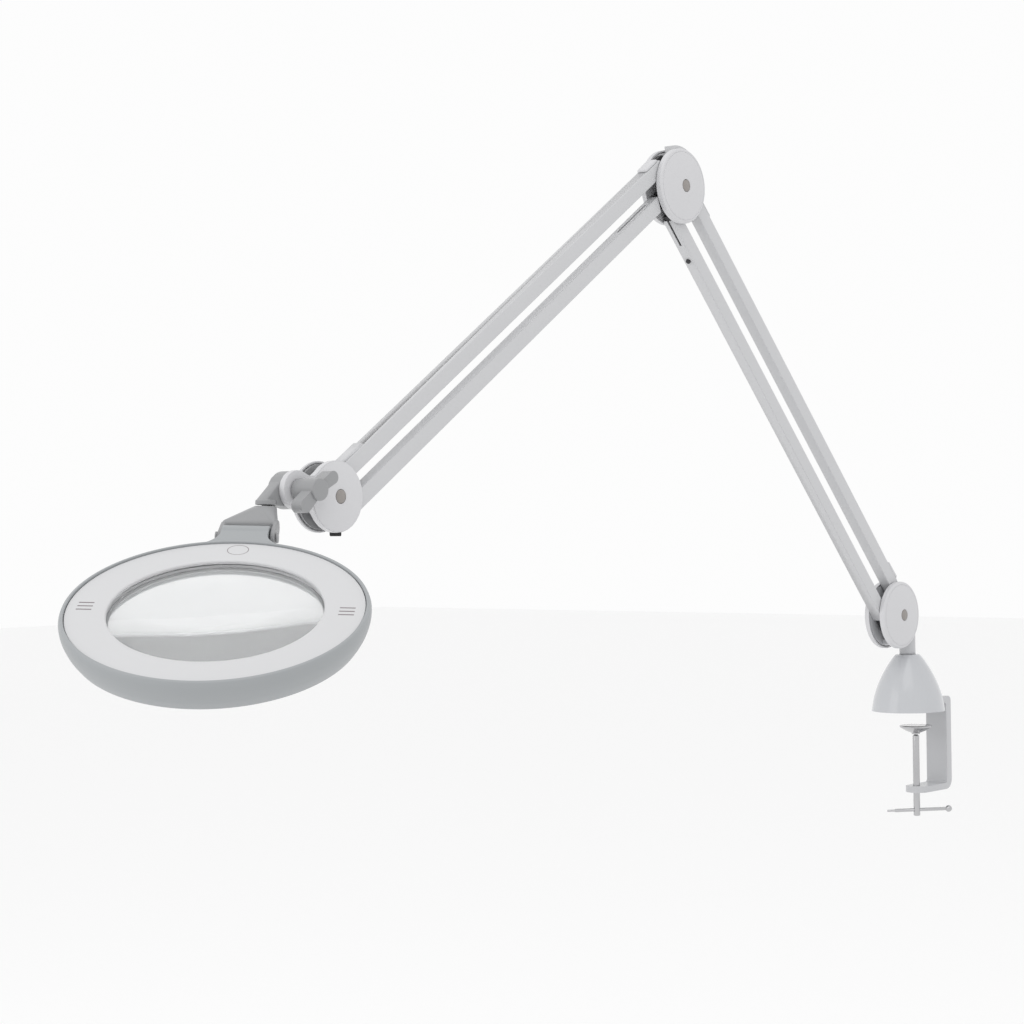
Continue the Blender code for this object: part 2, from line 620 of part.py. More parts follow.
# ---------------------------------------------------------------- head joint
def keyhole(centre, radius, ear, ear_radius, blend):
    """Outline of a disc and a smaller ear joined by two concave blends."""
    span = ear - centre
    reach = span.length
    base = math.atan2(span.y, span.x)
    far, near = radius + blend, ear_radius + blend
    inner = math.acos((far * far + reach * reach - near * near) / (2 * far * reach))
    outer = math.acos((near * near + reach * reach - far * far) / (2 * near * reach))
    degrees = math.degrees
    points = arc(centre, radius, degrees(base + inner), degrees(base - inner) + 360, 24)
    for side in (-1, 1):
        hub = centre + direction(base + side * inner) * far
        to_disc = degrees(base + side * inner) + 180
        to_ear = degrees(base + math.pi - side * outer) + 180
        while to_ear - to_disc > 180:
            to_ear -= 360
        while to_disc - to_ear > 180:
            to_ear += 360
        if side < 0:
            points += arc(hub, blend, to_disc, to_ear, 3)
            start = degrees(base + math.pi + outer)
            points += arc(ear, ear_radius, start, start + 360 - 2 * degrees(outer), 12)
        else:
            points += arc(hub, blend, to_ear, to_disc, 3)
    return clean(points)


def clean(points):
    """Outline without repeated points."""
    kept = []
    for point in points:
        if not kept or (Vector(point) - Vector(kept[-1])).length > 0.0002:
            kept.append(point)
    if (Vector(kept[0]) - Vector(kept[-1])).length < 0.0002:
        kept.pop()
    return kept


def head_bracket():
    """Two plates that carry the upper arm's pivots and the tilt hinge's ears, tied by a web between."""
    shape = keyhole(HEAD_JOINT, HEAD_DISC_RADIUS - 0.0024, EAR, EAR_RADIUS - 0.0022, 0.014)
    holes = [circle(p, PIVOT_RADIUS + 0.0004, 12) for p in (UPPER_MAIN_HEAD, UPPER_LINK_HEAD)]
    holes.append(circle(EAR, 0.0041, 12))
    mid = HEAD_JOINT + Vector((-0.0262, 0.0035))
    block = [(mid.x - 0.0035, mid.y - 0.0110), (mid.x + 0.0035, mid.y - 0.0110),
             (mid.x + 0.0035, mid.y + 0.0110), (mid.x - 0.0035, mid.y + 0.0110)]
    half = PLATE_INNER + 0.0005
    obj = node("head_bracket", plate([block], -half, half), SIDE, "joint_grey")
    for low in (PLATE_INNER, -PLATE_OUTER):
        join(obj, plate([shape] + holes, low, low + PLATE_OUTER - PLATE_INNER), SIDE)
    foot = HEAD_JOINT + Vector((0.0090, -0.0310))
    bumper = [(foot.x - 0.0025, foot.y - 0.0030), (foot.x - 0.0015, foot.y - 0.0038),
              (foot.x + 0.0040, foot.y - 0.0038), (foot.x + 0.0045, foot.y + 0.0044),
              (foot.x - 0.0025, foot.y + 0.0044)]
    join(obj, plate([bumper], -0.0034, 0.0034), SIDE)
    join(obj, box((foot.x - 0.0070, foot.y + 0.0032, -0.0085), (foot.x, foot.y + 0.0044, 0.0085)), SIDE)


def head_cover_front():
    """Front cover of the head joint: a domed face and a rim that follows the bracket's outline."""
    shape = keyhole(HEAD_JOINT, HEAD_DISC_RADIUS, EAR, EAR_RADIUS, 0.0116)
    inside = keyhole(HEAD_JOINT, HEAD_DISC_RADIUS - 0.0018, EAR, EAR_RADIUS - 0.0016, 0.0134)
    face = [shape, circle(EAR, 0.0043, 12)]
    obj = node("head_cover_front", plate(face, COVER_FACE_INNER, COVER_FACE - 0.0006), SIDE, "cover_white")
    join(obj, plate([shape, inside], COVER_RIM, COVER_FACE_INNER + 0.0005), SIDE)
    radius = HEAD_DISC_RADIUS - 0.0008
    points = [(0.0, COVER_FACE + DOME)] + dome_points(COVER_FACE, radius)
    points += [(radius, COVER_FACE_INNER + 0.0010), (0.0, COVER_FACE_INNER + 0.0010)]
    dome = tool("head_dome", profile_mesh(points, False), SIDE)
    dome.location = (HEAD_JOINT.x, HEAD_JOINT.y, 0)
    add_screw(dome, 36)
    boolean(obj, dome, "UNION")
    seat = cylinder(CAP_RADIUS + 0.0004, COVER_FACE + DOME - 0.0020, 0.030, (HEAD_JOINT.x, HEAD_JOINT.y), 16)
    cut(obj, seat, SIDE)
    cut(obj, cylinder(0.0044, 0.0, 0.030, (HEAD_JOINT.x, HEAD_JOINT.y), 14), SIDE)


def head_cover_rear():
    """Round rear cover of the head joint; the tilt hinge beside it is left open."""
    rim = HEAD_DISC_RADIUS - 0.0018
    points = [(0.0, COVER_FACE + DOME)] + dome_points(COVER_FACE, HEAD_DISC_RADIUS - 0.0012)
    points += [(HEAD_DISC_RADIUS, COVER_FACE - 0.0012), (HEAD_DISC_RADIUS, COVER_RIM + 0.0024),
               (rim, COVER_RIM + 0.0024), (rim, COVER_FACE_INNER), (0.0, COVER_FACE_INNER + 0.0014)]
    obj = turned("head_cover_rear", points, SIDE, "cover_white", 36, at=(HEAD_JOINT.x, HEAD_JOINT.y, 0))
    obj.rotation_euler = (math.pi, 0, 0)


def tilt_hinge():
    """Hinge barrel with its swivel lug, clamped between the ears by a through bolt and a winged knob."""
    obj = node("tilt_block", cylinder(EAR_RADIUS - 0.0006, -0.0066, 0.0066, segments=32), TILT, "joint_grey")
    turn = TILT.matrix_world.inverted()
    turn = turn @ SWIVEL.matrix_world
    points = [turn @ Vector((x, max(-0.0062, min(0.0062, y)), height))
              for height, radius in ((0.0005, 0.0091), (0.0043, 0.0086))
              for x, y in circle((0, 0), radius, 20)]
    points += [Vector((x, y, depth)) for depth in (-0.0060, 0.0060) for x, y in circle((0, 0), 0.0150, 24)]
    join(obj, hull(points), TILT)
    join(obj, cylinder(0.0092, 0.0004, 0.0044, segments=28), SWIVEL)
    cut(obj, cylinder(0.0041, -0.010, 0.010, segments=20), TILT)
    cut(obj, cylinder(0.0038, -0.010, 0.0066, segments=20), SWIVEL)
    bolt = ((0.0, 0.0300), (0.0037, 0.0300), (0.0037, -0.0096), (0.0075, -0.0096), (0.0070, -0.0132),
            (0.0, -0.0132))
    turned("tilt_bolt", bolt, TILT, "steel", 24)


def tilt_knob():
    """Hand knob: a round hub with two wings."""
    hub = ((0.0, 0.0405), (0.0086, 0.0405), (0.0098, 0.0395), (0.0098, 0.0141), (0.0041, 0.0141),
           (0.0041, 0.0305), (0.0, 0.0305))
    obj = turned("tilt_knob", hub, TILT, "joint_grey", 28)
    for angle, reach, half in ((30, 0.0208, 0.0057), (221, 0.0208, 0.0064)):
        along, across = direction(math.radians(angle)), direction(math.radians(angle + 90))
        outline = [tuple(along * 0.0055 - across * (half - 0.0010))]
        outline += arc(along * reach, half, angle - 90, angle + 90, 8)
        outline += [tuple(along * 0.0055 + across * (half - 0.0010))]
        join(obj, plate([outline], 0.0265, 0.0385), TILT)


# ---------------------------------------------------------------- yoke and head
def hull(points):
    bm = bmesh.new()
    for point in points:
        bm.verts.new(point)
    bmesh.ops.convex_hull(bm, input=bm.verts)
    bmesh.ops.delete(bm, geom=[v for v in bm.verts if not v.link_faces], context="VERTS")
    return mesh_from(bm)


def yoke():
    """Casting that swivels under the tilt block and straddles the neck with two cheeks."""
    boss = []
    for height, radius in ((-0.0004, 0.0104), (-0.0110, 0.0080)):
        boss += [SWIVEL.matrix_world @ Vector((x, y, height)) for x, y in circle((0, 0), radius, 20)]
    inverse = HEAD.matrix_world.inverted()
    points = [inverse @ p for p in boss]
    for y in (-0.0252, 0.0242):
        for x, low, high in ((0.1662, -0.0190, -0.0010), (0.1780, -0.0170, 0.0010)):
            points += [Vector((x, y, low)), Vector((x, y, high))]
    obj = node("yoke", hull(points), HEAD, "joint_grey")
    cheek = arc((NOD_X, NOD_Z), 0.0080, 90, 270, 10)
    right = cheek + [(0.170, NOD_Z - 0.0080), (0.170, NOD_Z + 0.0080)]
    low = arc((NOD_X, NOD_Z - 0.0020), 0.0055, 90, 270, 10)
    left = low + [(0.170, NOD_Z - 0.0075), (0.170, NOD_Z + 0.0035)]
    side = new_frame("cheek_frame", HEAD.matrix_world @ Matrix.Rotation(math.radians(90), 4, "X"))
    join(obj, plate([right], NECK_HALF_WIDTH + 0.0007, 0.0251), side)
    join(obj, plate([left], -0.0241, -NECK_HALF_WIDTH - 0.0005), side)
    cut(obj, cylinder(0.0038, -0.030, 0.010, segments=20), SWIVEL)
    cut(obj, cylinder(0.0068, -0.040, -0.0130, segments=20), SWIVEL)
    cut(obj, cylinder(0.0028, 0.0150, 0.0300, segments=16), nod_frame())
    cut(obj, cylinder(0.0028, -0.0300, -0.0150, segments=16), nod_frame())


def nod_frame():
    """Frame on the nod axis: local Z points to the head's right side."""
    found = bpy.data.objects.get("nod_frame")
    if found:
        return found
    local = Matrix.Translation((NOD_X, 0, NOD_Z)) @ Matrix.Rotation(math.radians(90), 4, "X")
    return new_frame("nod_frame", HEAD.matrix_world @ local)


def nod_screw(name, right):
    """Shouldered screw through one cheek into the neck."""
    face = 0.0255 if right else 0.0245
    points = ((0.0, face + 0.0018), (0.0046, face + 0.0018), (0.0046, face), (0.0025, face), (0.0025, 0.0150),
              (0.0, 0.0150))
    obj = turned(name, points, nod_frame(), "steel", 14)
    if not right:
        obj.rotation_euler = (math.pi, 0, 0)


def swivel_pin():
    points = ((0.0, 0.0060), (0.0035, 0.0060), (0.0035, -0.0133), (0.0064, -0.0133), (0.0064, -0.0155),
              (0.0, -0.0155))
    turned("swivel_pin", points, SWIVEL, "steel", 16)


def casing():
    """Head housing: a ring channel open below, with a rolled rim and the neck at its back."""
    points = ((0.1194, 0.0016), (0.1215, 0.0012), (0.1230, -0.0025), (0.1226, -0.0090), (0.1195, -0.0180),
              (0.1140, -0.0262), (0.1118, -0.0262), (0.1172, -0.0180), (0.1204, -0.0080),
              (0.1204, -0.0056), (0.0920, -0.0056), (0.0920, -0.0240), (0.0900, -0.0240),
              (0.0900, -0.0032),
              (0.1188, -0.0032), (0.1188, 0.0010))
    obj = turned("head_casing", points, HEAD, "head_grey", 48, closed=True)
    low, high = NOD_Z - NECK_HALF_DEPTH, NOD_Z + NECK_HALF_DEPTH
    flare = [(NOD_X, NECK_HALF_WIDTH), (0.1410, NECK_HALF_WIDTH), (0.1330, 0.0225), (0.1260, 0.0275),
             (0.1190, 0.0365), (0.1120, 0.0480), (0.0985, 0.0705)]
    inner = arc((0, 0), 0.1165, 36, -36, 14)
    outline = flare + inner + [(x, -y) for x, y in reversed(flare)]
    join(obj, plate([outline], low, high), HEAD)
    join(obj, cylinder(NECK_HALF_DEPTH, -NECK_HALF_WIDTH, NECK_HALF_WIDTH, segments=32), nod_frame())
    cut(obj, cylinder(PLATE_RADIUS + GAP, -0.0031, 0.0100, segments=48), HEAD)
    cut(obj, cylinder(0.0028, 0.0140, 0.0300, segments=16), nod_frame())
    cut(obj, cylinder(0.0028, -0.0300, -0.0140, segments=16), nod_frame())


def head_internals():
    """Top plate, lens with its gasket and ring, light board, diffuser and touch sensor."""
    ring("top_plate", APERTURE_RADIUS, PLATE_RADIUS, -0.0028, 0.0, HEAD, "plate_white", 48)
    lens_radius, edge_top, edge_low, top_bulge, low_bulge = 0.0870, -0.0066, -0.0094, 0.0055, 0.0105
    top = [(lens_radius * i / 5, edge_top + top_bulge * (1 - (i / 5) ** 2)) for i in range(6)]
    low = [(lens_radius * i / 5, edge_low - low_bulge * (1 - (i / 5) ** 2)) for i in range(5, -1, -1)]
    turned("lens", top + low, HEAD, "glass", 40)
    ring("lens_gasket", 0.0875, 0.0896, -0.0094, -0.0046, HEAD, "rubber", 40)
    ring("lens_ring", 0.0840, 0.0896, -0.0134, -0.0107, HEAD, "head_grey", 40)
    ring("led_board", 0.0945, 0.1080, -0.0115, -0.0100, HEAD, "board", 40)
    ring("diffuser_ring", 0.0880, 0.1112, -0.0262, -0.0244, HEAD, "diffuser", 48)
    node("touch_sensor", cylinder(0.0085, -0.0078, -0.0060, (0.1060, 0), 20), HEAD, "board")


# ---------------------------------------------------------------- clamp screw
def clamp_screw():
    points = ((0.0, SCREW_TOP), (0.0022, SCREW_TOP), (0.0022, -0.0292), (SCREW_RADIUS, -0.0305),
              (SCREW_RADIUS, SCREW_BOTTOM + 0.0008), (SCREW_RADIUS - 0.0008, SCREW_BOTTOM),
              (0.0, SCREW_BOTTOM))
    obj = turned("clamp_screw", points, WORLD, "chrome", 20, at=(SCREW_X, 0, 0))
    cut(obj, cylinder(0.0024, -0.020, 0.020, segments=14, axis="X"), tommy_frame())


def tommy_frame():
    """Frame of the tommy bar: X along the bar, through the screw's cross hole."""
    found = bpy.data.objects.get("tommy_frame")
    if found:
        return found
    turn = Matrix.Rotation(TOMMY_ANGLE, 4, "Z") @ Matrix.Rotation(math.radians(-1.5), 4, "Y")
    return new_frame("tommy_frame", Matrix.Translation((SCREW_X, 0, TOMMY_Z)) @ turn)


def screw_pad():
    """Cup pad that swivels on the screw's tip."""
    points = ((0.0, -0.0180), (0.0185, -0.0180), (0.0190, -0.0190), (0.0186, -0.0202), (0.0120, -0.0242),
              (0.0050, -0.0270), (0.0046, -0.0285), (0.0026, -0.0285), (0.0026, -0.0242), (0.0, -0.0242))
    turned("screw_pad", points, WORLD, "chrome", 24, at=(SCREW_X, 0, 0))


def tommy_bar():
    """Slim bar with a turned-down tip and a ball at its other end."""
    obj = node("tommy_bar", cylinder(0.0020, -0.0260, 0.0340, segments=14, axis="X"), tommy_frame(), "chrome")
    join(obj, cylinder(0.0013, -0.0350, -0.0255, segments=12, axis="X"), tommy_frame())
    bm = bmesh.new()
    bmesh.ops.create_uvsphere(bm, u_segments=14, v_segments=10, radius=0.0040)
    bmesh.ops.translate(bm, vec=(0.0375, 0, 0), verts=bm.verts)
    join(obj, mesh_from(bm), tommy_frame())


def main():
    bench_clamp()
    jaw_pad()
    pivot_bush()
    bush_bolt()
    bell_cover()
    mast_knuckle()
    disc_cover("lower_cover_front", KNUCKLE, True, post=True)
    disc_cover("lower_cover_rear", KNUCKLE, False, post=True)
    centre_bolt("lower_centre_bolt", KNUCKLE)
    through_pivot("lower_main_pivot", LOWER_MAIN_LOW)
    through_pivot("lower_link_pivot", LOWER_LINK_LOW)
    lower_arm()
    elbow_bracket()
    disc_cover("elbow_cover_front", ELBOW, True)
    disc_cover("elbow_cover_rear", ELBOW, False)
    centre_bolt("elbow_centre_bolt", ELBOW)
    stud_pivot("elbow_lower_main_stud", LOWER_MAIN_HIGH, True)
    stud_pivot("elbow_lower_link_stud", LOWER_LINK_HIGH, True)
    stud_pivot("elbow_upper_link_stud", UPPER_LINK_ELBOW, False)
    upper_arm()
    head_bracket()
    head_cover_front()
    head_cover_rear()
    head_cap()
    through_pivot("head_main_pivot", UPPER_MAIN_HEAD)
    through_pivot("head_link_pivot", UPPER_LINK_HEAD)
    tilt_hinge()
    tilt_knob()
    yoke()
    nod_screw("nod_screw_right", True)
    nod_screw("nod_screw_left", False)
    swivel_pin()
    casing()
    head_internals()
    clamp_screw()
    screw_pad()
    tommy_bar()


main()
bpy.context.view_layer.update()
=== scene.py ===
"""Magnifying lamp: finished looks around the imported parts. Metres, +Z up, arm in the XZ plane."""
import json
import math

import bmesh
import bpy
from mathutils import Matrix, Vector


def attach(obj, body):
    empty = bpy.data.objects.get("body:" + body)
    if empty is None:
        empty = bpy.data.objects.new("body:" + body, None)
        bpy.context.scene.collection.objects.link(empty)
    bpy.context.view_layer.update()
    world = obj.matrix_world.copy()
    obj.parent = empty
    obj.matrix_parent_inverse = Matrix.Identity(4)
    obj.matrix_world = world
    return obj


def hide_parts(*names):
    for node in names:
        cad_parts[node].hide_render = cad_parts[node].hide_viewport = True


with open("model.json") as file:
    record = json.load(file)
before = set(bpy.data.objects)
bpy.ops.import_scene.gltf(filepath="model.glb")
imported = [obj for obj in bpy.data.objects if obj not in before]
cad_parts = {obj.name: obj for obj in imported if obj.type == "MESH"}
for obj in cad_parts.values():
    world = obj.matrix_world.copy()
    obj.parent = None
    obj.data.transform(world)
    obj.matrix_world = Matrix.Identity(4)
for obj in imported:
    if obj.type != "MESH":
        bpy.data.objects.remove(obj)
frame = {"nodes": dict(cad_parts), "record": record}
NODES = frame["nodes"]
BODY = {n: b for b, names in frame["record"]["behaviour"]["bodies"].items() for n in names}
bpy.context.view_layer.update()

LOWER_ANGLE, UPPER_ANGLE = math.radians(132.6), math.radians(213.7)
LOWER_LENGTH, UPPER_LENGTH = 0.6223, 0.6098


def direction(angle):
    return Vector((math.cos(angle), math.sin(angle)))


LOWER_U, LOWER_N = direction(LOWER_ANGLE), direction(LOWER_ANGLE + math.pi / 2)
UPPER_U, UPPER_N = direction(UPPER_ANGLE), direction(UPPER_ANGLE - math.pi / 2)
KNUCKLE = Vector((-0.0332, 0.1145))
LOWER_MAIN_LOW = KNUCKLE + LOWER_N * 0.0179
LOWER_LINK_LOW = LOWER_MAIN_LOW - LOWER_N * 0.0394
LOWER_MAIN_HIGH = LOWER_MAIN_LOW + LOWER_U * LOWER_LENGTH
ELBOW = LOWER_MAIN_HIGH - LOWER_N * 0.0242
UPPER_LINK_ELBOW = ELBOW + UPPER_N * 0.0298
UPPER_MAIN_HEAD = ELBOW + UPPER_U * UPPER_LENGTH
HEAD_JOINT = UPPER_MAIN_HEAD + UPPER_N * 0.0224
EAR = HEAD_JOINT + Vector((-0.0485, 0.0059))

TURN_X = Matrix.Rotation(math.radians(90), 4, "X")


def bar_matrix(origin, angle):
    return TURN_X @ Matrix.Translation((origin.x, origin.y, 0)) @ Matrix.Rotation(angle, 4, "Z")


def axes_matrix(origin, x_axis, y_axis, z_axis):
    matrix = Matrix((x_axis, y_axis, z_axis)).transposed().to_4x4()
    matrix.translation = origin
    return matrix


SIDE = TURN_X
LOWER_MAIN = bar_matrix(LOWER_MAIN_LOW, LOWER_ANGLE)
LOWER_LINK = bar_matrix(LOWER_LINK_LOW, LOWER_ANGLE)
UPPER_MAIN = bar_matrix(ELBOW, UPPER_ANGLE)
UPPER_LINK = bar_matrix(UPPER_LINK_ELBOW, UPPER_ANGLE)
TILT = TURN_X @ Matrix.Translation((EAR.x, EAR.y, 0))
LEAN, TURN, NOD = math.radians(3.2), math.radians(37.06), math.radians(27.6)
SWIVEL_AXIS = Vector((math.sin(LEAN), 0, math.cos(LEAN)))
LEVEL = Vector((math.cos(LEAN), 0, -math.sin(LEAN)))
FLAT = LEVEL * math.cos(TURN) + Vector((0, 1, 0)) * math.sin(TURN)
NECK = FLAT * math.cos(NOD) + SWIVEL_AXIS * math.sin(NOD)
NORMAL = SWIVEL_AXIS * math.cos(NOD) - FLAT * math.sin(NOD)
HEAD = axes_matrix(Vector((-1.1963, -0.0981, 0.1684)), NECK, NORMAL.cross(NECK), NORMAL)


# ---------------------------------------------------------------- materials
def material(name, colour, roughness=0.4, metallic=0.0, coat=0.0, bump=0.0, scale=900.0, mottle=0.02,
             transmission=0.0, ior=1.46):
    """Painted, moulded or plated surface with a fine grain and slight unevenness."""
    mat = bpy.data.materials.new(name)
    mat.use_nodes = True
    tree = mat.node_tree
    shader = tree.nodes["Principled BSDF"]
    shader.inputs["Metallic"].default_value = metallic
    shader.inputs["Coat Weight"].default_value = coat
    shader.inputs["Coat Roughness"].default_value = 0.15
    shader.inputs["IOR"].default_value = ior
    shader.inputs["Transmission Weight"].default_value = transmission
    place = tree.nodes.new("ShaderNodeTexCoord")
    broad = tree.nodes.new("ShaderNodeTexNoise")
    broad.inputs["Scale"].default_value = 14.0
    broad.inputs["Detail"].default_value = 4.0
    tree.links.new(place.outputs["Object"], broad.inputs["Vector"])
    tint = tree.nodes.new("ShaderNodeMapRange")
    tint.inputs["To Min"].default_value = 1.0 - mottle
    tint.inputs["To Max"].default_value = 1.0 + mottle
    tree.links.new(broad.outputs["Fac"], tint.inputs["Value"])
    mix = tree.nodes.new("ShaderNodeVectorMath")
    mix.operation = "SCALE"
    mix.inputs[0].default_value = colour
    tree.links.new(tint.outputs["Result"], mix.inputs["Scale"])
    tree.links.new(mix.outputs["Vector"], shader.inputs["Base Color"])
    rough = tree.nodes.new("ShaderNodeMapRange")
    rough.inputs["To Min"].default_value = max(roughness - 0.05, 0.02)
    rough.inputs["To Max"].default_value = roughness + 0.05
    tree.links.new(broad.outputs["Fac"], rough.inputs["Value"])
    tree.links.new(rough.outputs["Result"], shader.inputs["Roughness"])
    if bump:
        grain = tree.nodes.new("ShaderNodeTexNoise")
        grain.inputs["Scale"].default_value = scale
        grain.inputs["Detail"].default_value = 3.0
        tree.links.new(place.outputs["Object"], grain.inputs["Vector"])
        lift = tree.nodes.new("ShaderNodeBump")
        lift.inputs["Strength"].default_value = bump
        lift.inputs["Distance"].default_value = 0.0002
        tree.links.new(grain.outputs["Fac"], lift.inputs["Height"])
        tree.links.new(lift.outputs["Normal"], shader.inputs["Normal"])
    return mat


PAINT = {
    "arm_white": material("arm_white", (0.55, 0.553, 0.565), 0.4, bump=0.03, coat=0.1),
    "cover_white": material("cover_white", (0.60, 0.60, 0.615), 0.42, bump=0.05),
    "cap_grey": material("cap_grey", (0.29, 0.27, 0.255), 0.45, bump=0.1),
    "joint_grey": material("joint_grey", (0.30, 0.303, 0.31), 0.38, bump=0.05),
    "head_grey": material("head_grey", (0.335, 0.35, 0.36), 0.42, bump=0.04),
    # pale white of the top plate; also put on the lens ring and rubber gasket as painted light seen
    # through the lens
    "plate_white": material("plate_white", (0.60, 0.602, 0.612), 0.4, bump=0.02, coat=0.1),
    "bell_white": material("bell_white", (0.50, 0.51, 0.53), 0.16, coat=0.4),
    "clamp_white": material("clamp_white", (0.50, 0.505, 0.52), 0.3, coat=0.2, bump=0.04),
    "chrome": material("chrome", (0.50, 0.50, 0.51), 0.16, metallic=1.0),
    "steel": material("steel", (0.38, 0.38, 0.39), 0.32, metallic=1.0, bump=0.04),
    "dark_steel": material("dark_steel", (0.035, 0.035, 0.038), 0.45, metallic=0.3, bump=0.1),
    "rubber": material("rubber", (0.02, 0.02, 0.021), 0.75, bump=0.25),
    "diffuser": material("diffuser", (0.82, 0.83, 0.84), 0.5),
    "board": material("board", (0.05, 0.16, 0.08), 0.45),
    "mark_grey": material("mark_grey", (0.20, 0.17, 0.18), 0.5),
    # lens glass: white tint with 0.8 transmission, part milky, as painted light that makes the lens look
    # bright
    "glass": material("glass", (0.90, 0.91, 0.915), 0.02, transmission=0.8, ior=1.45),
}


# ---------------------------------------------------------------- shaping helpers
def finish_piece(obj, body, paint, angle=35):
    """Gives a piece its paint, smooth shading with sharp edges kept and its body."""
    obj.data.materials.clear()
    obj.data.materials.append(PAINT[paint])
    for polygon in obj.data.polygons:
        polygon.use_smooth = True
    if hasattr(obj.data, "set_sharp_from_angle"):
        obj.data.set_sharp_from_angle(angle=math.radians(angle))
    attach(obj, body)
    return obj


def add(name, bm, matrix, body, paint, angle=35):
    """New piece from a bmesh, which is freed."""
    mesh = bpy.data.meshes.new(name)
    bmesh.ops.recalc_face_normals(bm, faces=bm.faces)
    bm.to_mesh(mesh)
    bm.free()
    obj = bpy.data.objects.new(name, mesh)
    bpy.context.scene.collection.objects.link(obj)
    obj.matrix_world = matrix
    return finish_piece(obj, body, paint, angle)


def refined(node, paint, width, segments=2, angle=40, limit=None, sharp=35):
    """Copy of a CAD node with its flat faces merged and its edges rounded."""
    bm = bmesh.new()
    bm.from_mesh(NODES[node].data)
    bmesh.ops.remove_doubles(bm, verts=bm.verts, dist=1e-6)
    bmesh.ops.dissolve_limit(bm, angle_limit=math.radians(1.0), verts=bm.verts, edges=bm.edges)
    edges = [e for e in bm.edges if len(e.link_faces) == 2 and e.calc_face_angle(0) > math.radians(angle)]
    if limit:
        edges = [e for e in edges if limit(e)]
    if width:
        bmesh.ops.bevel(bm, geom=edges, offset=width, segments=segments, profile=0.6, affect="EDGES",
                        clamp_overlap=True)
    bmesh.ops.triangulate(bm, faces=[f for f in bm.faces if len(f.verts) > 4])
    piece = add("look_" + node, bm, Matrix.Identity(4), BODY[node], paint, sharp)
    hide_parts(node)
    return piece


def turned(name, points, matrix, body, paint, segments=96, closed=False, angle=35):
    """Turned piece: (radius, height) points spun about local Z."""
    bm = bmesh.new()
    rows = []
    for radius, height in points:
        if radius < 1e-7:
            rows.append([bm.verts.new((0, 0, height))])
        else:
            rows.append([bm.verts.new((radius * math.cos(math.tau * i / segments),
                                       radius * math.sin(math.tau * i / segments), height))
                         for i in range(segments)])
    pairs = list(zip(rows, rows[1:]))
    if closed:
        pairs.append((rows[-1], rows[0]))
    for first, second in pairs:
        for i in range(segments):
            j = (i + 1) % segments
            corners = [first[i % len(first)], first[j % len(first)], second[j % len(second)],
                       second[i % len(second)]]
            unique = list(dict.fromkeys(corners))
            if len(unique) > 2:
                bm.faces.new(unique)
    return add(name, bm, matrix, body, paint, angle)


def rounded(points, steps=5):
    """Profile with each marked corner rounded: points are (radius, height, round radius)."""
    out = []
    count = len(points)
    for i, (x, y, r) in enumerate(points):
        here = Vector((x, y))
        if not r:
            out.append((x, y))
            continue
        before, after = Vector(points[i - 1][:2]), Vector(points[(i + 1) % count][:2])
        a, b = (before - here), (after - here)
        r = min(r, a.length * 0.45, b.length * 0.45)
        start, end = here + a.normalized() * r, here + b.normalized() * r
        for k in range(steps + 1):
            t = k / steps
            out.append(tuple(start * (1 - t) ** 2 + here * 2 * t * (1 - t) + end * t ** 2))
    return out


# ---------------------------------------------------------------- tubes
def tube(node, matrix):
    """Square tube with rounded long edges, open ends and a slot or guide kept from its CAD node."""
    def long_outer(edge):
        a, b = (matrix.inverted() @ v.co for v in edge.verts)
        inside = max(abs(a.y), abs(b.y)) < 0.0072 and max(abs(a.z), abs(b.z)) < 0.0058
        return abs(a.x - b.x) > 0.004 and not inside and (abs(a.z) > 0.0058 or abs(a.y) > 0.0085)
    return refined(node, "arm_white", 0.0014, 3, 40, long_outer)


tube("lower_main_tube", LOWER_MAIN)
tube("lower_link_tube", LOWER_LINK)
tube("upper_main_tube", UPPER_MAIN)
tube("upper_link_tube", UPPER_LINK)

# ---------------------------------------------------------------- plain refinements
for names, paint, width, segments in (
        (("lower_main_base_fitting", "lower_main_elbow_fitting", "lower_link_base_fitting",
          "lower_link_elbow_fitting", "upper_main_elbow_fitting", "upper_main_head_fitting",
          "upper_link_elbow_fitting", "upper_link_head_fitting"), "dark_steel", 0.0004, 2),
        (("lower_cable_cover", "upper_cable_cover"), "cover_white", 0.0007, 2),
        (("lower_main_pivot", "lower_link_pivot", "elbow_lower_main_stud", "elbow_lower_link_stud",
          "elbow_upper_link_stud", "head_main_pivot", "head_link_pivot"), "dark_steel", 0.0003, 2),
        (("lower_spring_screw", "upper_spring_screw"), "dark_steel", 0.0003, 2),
        (("bush_bolt", "swivel_pin", "tilt_bolt"), "steel", 0.0004, 2),
        (("nod_screw_left", "nod_screw_right"), "joint_grey", 0.0004, 2),
        (("pivot_bush",), "steel", 0.0005, 2),
        (("jaw_pad",), "rubber", 0.0008, 3),
        (("bench_clamp",), "clamp_white", 0.0016, 3),
        (("mast_knuckle",), "clamp_white", 0.0004, 2),
        (("elbow_bracket",), "arm_white", 0.0005, 2),
        (("head_bracket",), "joint_grey", 0.0006, 2),
        (("head_cover_front",), "cover_white", 0.0007, 2),
        (("clamp_screw", "screw_pad", "tommy_bar"), "chrome", 0.0003, 2),
        # lens ring painted pale: painted light seen through the lens
        (("lens_ring",), "plate_white", 0.0004, 2),
        (("diffuser_ring",), "diffuser", 0.0003, 2),
        (("led_board", "touch_sensor"), "board", 0.0002, 1),
        # rubber lens gasket painted pale: painted light seen through the lens
        (("lens_gasket",), "plate_white", 0.0003, 2),
        (("head_cover_rear",), "cover_white", 0.0005, 2),
        (("lower_centre_bolt", "elbow_centre_bolt", "head_cap"), "cap_grey", 0.0003, 2),
        (("lower_spring", "upper_spring"), "steel", 0.0, 1)):
    for name in names:
        refined(name, paint, width, segments)


